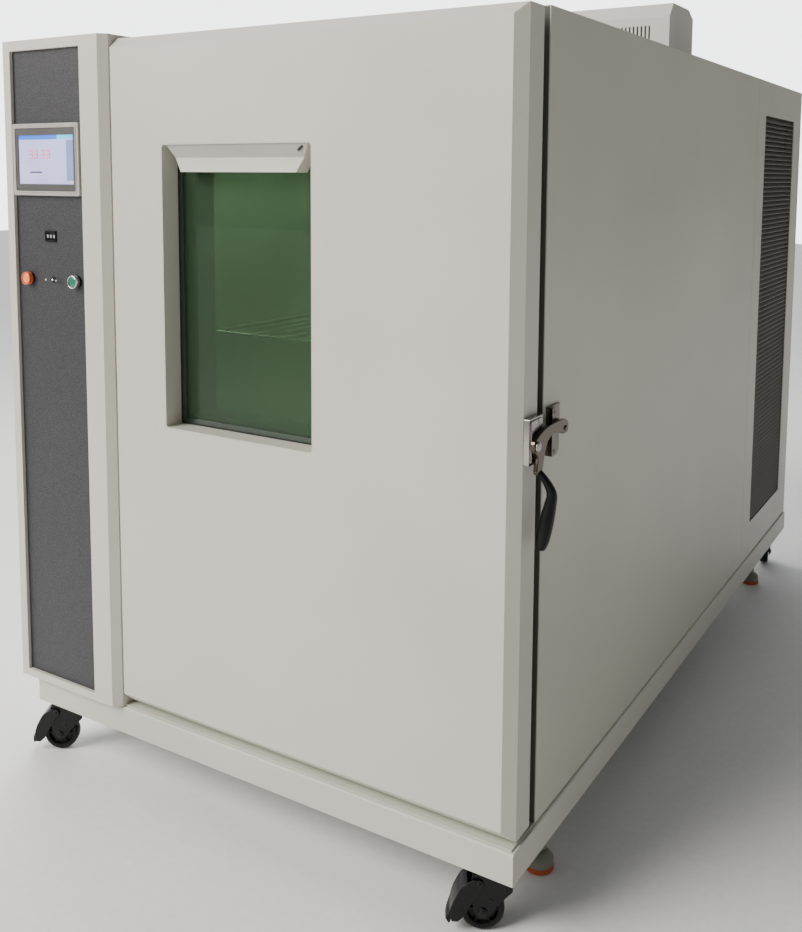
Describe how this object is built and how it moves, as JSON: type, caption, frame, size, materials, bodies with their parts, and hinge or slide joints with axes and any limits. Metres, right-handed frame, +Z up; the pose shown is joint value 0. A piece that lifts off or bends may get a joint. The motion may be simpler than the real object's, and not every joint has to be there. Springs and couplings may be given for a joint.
{
  "type": "environmental test chamber",
  "caption": "Walk-up temperature test chamber: windowed side-hung door with lever latch, control column, air plenum, refrigeration room, casters and feet.",
  "frame": {"origin": "floor level, under the middle of the whole object's bounding box", "axes": "+Z up; -Y is the front with the door and column, +Y towards the machine room; +X the object's right seen from the front"},
  "size_m": [1.299, 2.2444, 1.822],
  "materials": {
    "cream_paint": "fine textured powder coat",
    "black_hammered": "dark hammered paint",
    "stainless": "brushed",
    "zinc_steel": "zinc plated",
    "polished_steel": "polished",
    "pivot_bronze": "plain bearing bronze",
    "foam": "rigid foam",
    "seal_rubber": "soft matt",
    "black_plastic": "fine matt",
    "grey_plastic": "satin grey",
    "screen_glass": "lit screen",
    "orange_plastic": "gloss",
    "green_plastic": "gloss",
    "pane_glass": "clear, slightly green",
    "fin_aluminium": "mill finish fins",
    "wheel_rubber": "black tread",
    "iron_black": "black paint",
    "caster_black": "black moulded"
  },
  "bodies": {
    "cabinet": {"base_frame": "cream_paint", "base_deck": "cream_paint", "mounting_plates": "zinc_steel", "side_panels": "cream_paint", "roof_panel": "cream_paint", "front_frame": "grey_plastic", "insulation": "foam", "chamber_liner": "stainless", "shelves": "stainless", "air_baffle": "stainless", "evaporator": "fin_aluminium", "air_heater": "stainless", "blower_motor": "iron_black", "motor_cover": "cream_paint", "column_fascia": "cream_paint", "column_panel": "black_hammered", "operator_bezel": "grey_plastic", "operator_screen": "screen_glass", "limit_setter": "black_plastic", "switch_bodies": "black_plastic", "control_gear": "grey_plastic", "machine_side_panels": "cream_paint", "side_grilles": "zinc_steel", "rear_panel": "cream_paint", "cable_gland": "black_plastic", "compressors": "iron_black", "condenser": "fin_aluminium", "hinge_brackets": "zinc_steel", "latch_keeper": "polished_steel"},
    "door": {"door_shell": "cream_paint", "door_plug": "foam", "door_gasket": "seal_rubber", "window_glass": "pane_glass", "window_trim": "cream_paint", "window_visor": "grey_plastic", "latch_body": "polished_steel", "hinge_bushes": "pivot_bronze"},
    "latch_lever": {"latch_lever": "polished_steel", "latch_grip": "black_plastic"},
    "latch_roller": {"latch_roller": "polished_steel"},
    "power_button": {"power_button": "orange_plastic"},
    "start_button": {"start_button": "green_plastic"},
    "lamp_switch": {"lamp_switch": "black_plastic"},
    "blower_wheel": {"blower_wheel": "fin_aluminium"},
    "condenser_fan_upper": {"condenser_fan_upper": "black_plastic"},
    "condenser_fan_lower": {"condenser_fan_lower": "black_plastic"},
    "caster_fork_front_left": {"caster_fork_front_left": "iron_black"},
    "caster_wheel_front_left": {"caster_wheel_front_left": "wheel_rubber"},
    "brake_pedal_front_left": {"brake_pedal_front_left": "caster_black"},
    "caster_fork_front_right": {"caster_fork_front_right": "iron_black"},
    "caster_wheel_front_right": {"caster_wheel_front_right": "wheel_rubber"},
    "brake_pedal_front_right": {"brake_pedal_front_right": "caster_black"},
    "caster_fork_rear_left": {"caster_fork_rear_left": "iron_black"},
    "caster_wheel_rear_left": {"caster_wheel_rear_left": "wheel_rubber"},
    "caster_fork_rear_right": {"caster_fork_rear_right": "iron_black"},
    "caster_wheel_rear_right": {"caster_wheel_rear_right": "wheel_rubber"},
    "levelling_foot_front_left": {"levelling_foot_front_left": "zinc_steel"},
    "levelling_foot_front_right": {"levelling_foot_front_right": "zinc_steel"},
    "levelling_foot_rear_left": {"levelling_foot_rear_left": "zinc_steel"},
    "levelling_foot_rear_right": {"levelling_foot_rear_right": "zinc_steel"}
  },
  "joints": [
    {"name": "door_hinge", "type": "hinge", "parent": "cabinet", "child": "door", "pos_m": [-0.3025, -1.08675, 0.913], "axis": [0, 0, 1], "range_deg": [-95, 0]},
    {"name": "latch_turn", "type": "hinge", "parent": "door", "child": "latch_lever", "pos_m": [0.6205, -1.06875, 0.901], "axis": [1, 0, 0], "range_deg": [0, 85]},
    {"name": "roller_spin", "type": "hinge", "parent": "latch_lever", "child": "latch_roller", "pos_m": [0.61195, -0.95104, 0.90923], "axis": [1, 0, 0], "continuous": true},
    {"name": "power_press", "type": "slide", "parent": "cabinet", "child": "power_button", "axis": [0, 1, 0], "range_m": [0, 0.004], "stiffness_N_per_m": 500},
    {"name": "start_press", "type": "slide", "parent": "cabinet", "child": "start_button", "axis": [0, 1, 0], "range_m": [0, 0.004], "stiffness_N_per_m": 500},
    {"name": "lamp_rock", "type": "hinge", "parent": "cabinet", "child": "lamp_switch", "pos_m": [-0.5115, -1.11025, 1.119], "axis": [0, 0, 1], "range_deg": [-60, 0]},
    {"name": "blower_spin", "type": "hinge", "parent": "cabinet", "child": "blower_wheel", "pos_m": [0.1335, 0.29725, 1.633], "axis": [0, 0, 1], "continuous": true},
    {"name": "fan_upper_spin", "type": "hinge", "parent": "cabinet", "child": "condenser_fan_upper", "pos_m": [0.4695, 0.78475, 1.193], "axis": [1, 0, 0], "continuous": true},
    {"name": "fan_lower_spin", "type": "hinge", "parent": "cabinet", "child": "condenser_fan_lower", "pos_m": [0.4695, 0.78475, 0.633], "axis": [1, 0, 0], "continuous": true},
    {"name": "swivel_front_left", "type": "hinge", "parent": "cabinet", "child": "caster_fork_front_left", "pos_m": [-0.5605, -1.04575, 0.11], "axis": [0, 0, 1], "continuous": true},
    {"name": "roll_front_left", "type": "hinge", "parent": "caster_fork_front_left", "child": "caster_wheel_front_left", "pos_m": [-0.58388, -1.05925, 0.041], "axis": [0.5, -0.866, 0], "continuous": true},
    {"name": "brake_front_left", "type": "hinge", "parent": "caster_fork_front_left", "child": "brake_pedal_front_left", "pos_m": [-0.58995, -1.06275, 0.096], "axis": [0.5, -0.866, 0], "range_deg": [0, 8]},
    {"name": "swivel_front_right", "type": "hinge", "parent": "cabinet", "child": "caster_fork_front_right", "pos_m": [0.5525, -1.04575, 0.11], "axis": [0, 0, 1], "continuous": true},
    {"name": "roll_front_right", "type": "hinge", "parent": "caster_fork_front_right", "child": "caster_wheel_front_right", "pos_m": [0.52912, -1.05925, 0.041], "axis": [0.5, -0.866, 0], "continuous": true},
    {"name": "brake_front_right", "type": "hinge", "parent": "caster_fork_front_right", "child": "brake_pedal_front_right", "pos_m": [0.52306, -1.06275, 0.096], "axis": [0.5, -0.866, 0], "range_deg": [0, 8]},
    {"name": "swivel_rear_left", "type": "hinge", "parent": "cabinet", "child": "caster_fork_rear_left", "pos_m": [-0.5605, 1.04425, 0.11], "axis": [0, 0, 1], "continuous": true},
    {"name": "roll_rear_left", "type": "hinge", "parent": "caster_fork_rear_left", "child": "caster_wheel_rear_left", "pos_m": [-0.56519, 1.07084, 0.041], "axis": [-0.9848, -0.1736, 0], "continuous": true},
    {"name": "swivel_rear_right", "type": "hinge", "parent": "cabinet", "child": "caster_fork_rear_right", "pos_m": [0.5525, 1.04425, 0.11], "axis": [0, 0, 1], "continuous": true},
    {"name": "roll_rear_right", "type": "hinge", "parent": "caster_fork_rear_right", "child": "caster_wheel_rear_right", "pos_m": [0.54781, 1.07084, 0.041], "axis": [-0.9848, -0.1736, 0], "continuous": true},
    {"name": "level_front_left", "type": "slide", "parent": "cabinet", "child": "levelling_foot_front_left", "axis": [0, 0, 1], "range_m": [0, 0.02]},
    {"name": "level_front_right", "type": "slide", "parent": "cabinet", "child": "levelling_foot_front_right", "axis": [0, 0, 1], "range_m": [0, 0.02]},
    {"name": "level_rear_left", "type": "slide", "parent": "cabinet", "child": "levelling_foot_rear_left", "axis": [0, 0, 1], "range_m": [0, 0.02]},
    {"name": "level_rear_right", "type": "slide", "parent": "cabinet", "child": "levelling_foot_rear_right", "axis": [0, 0, 1], "range_m": [0, 0.02]}
  ]
}
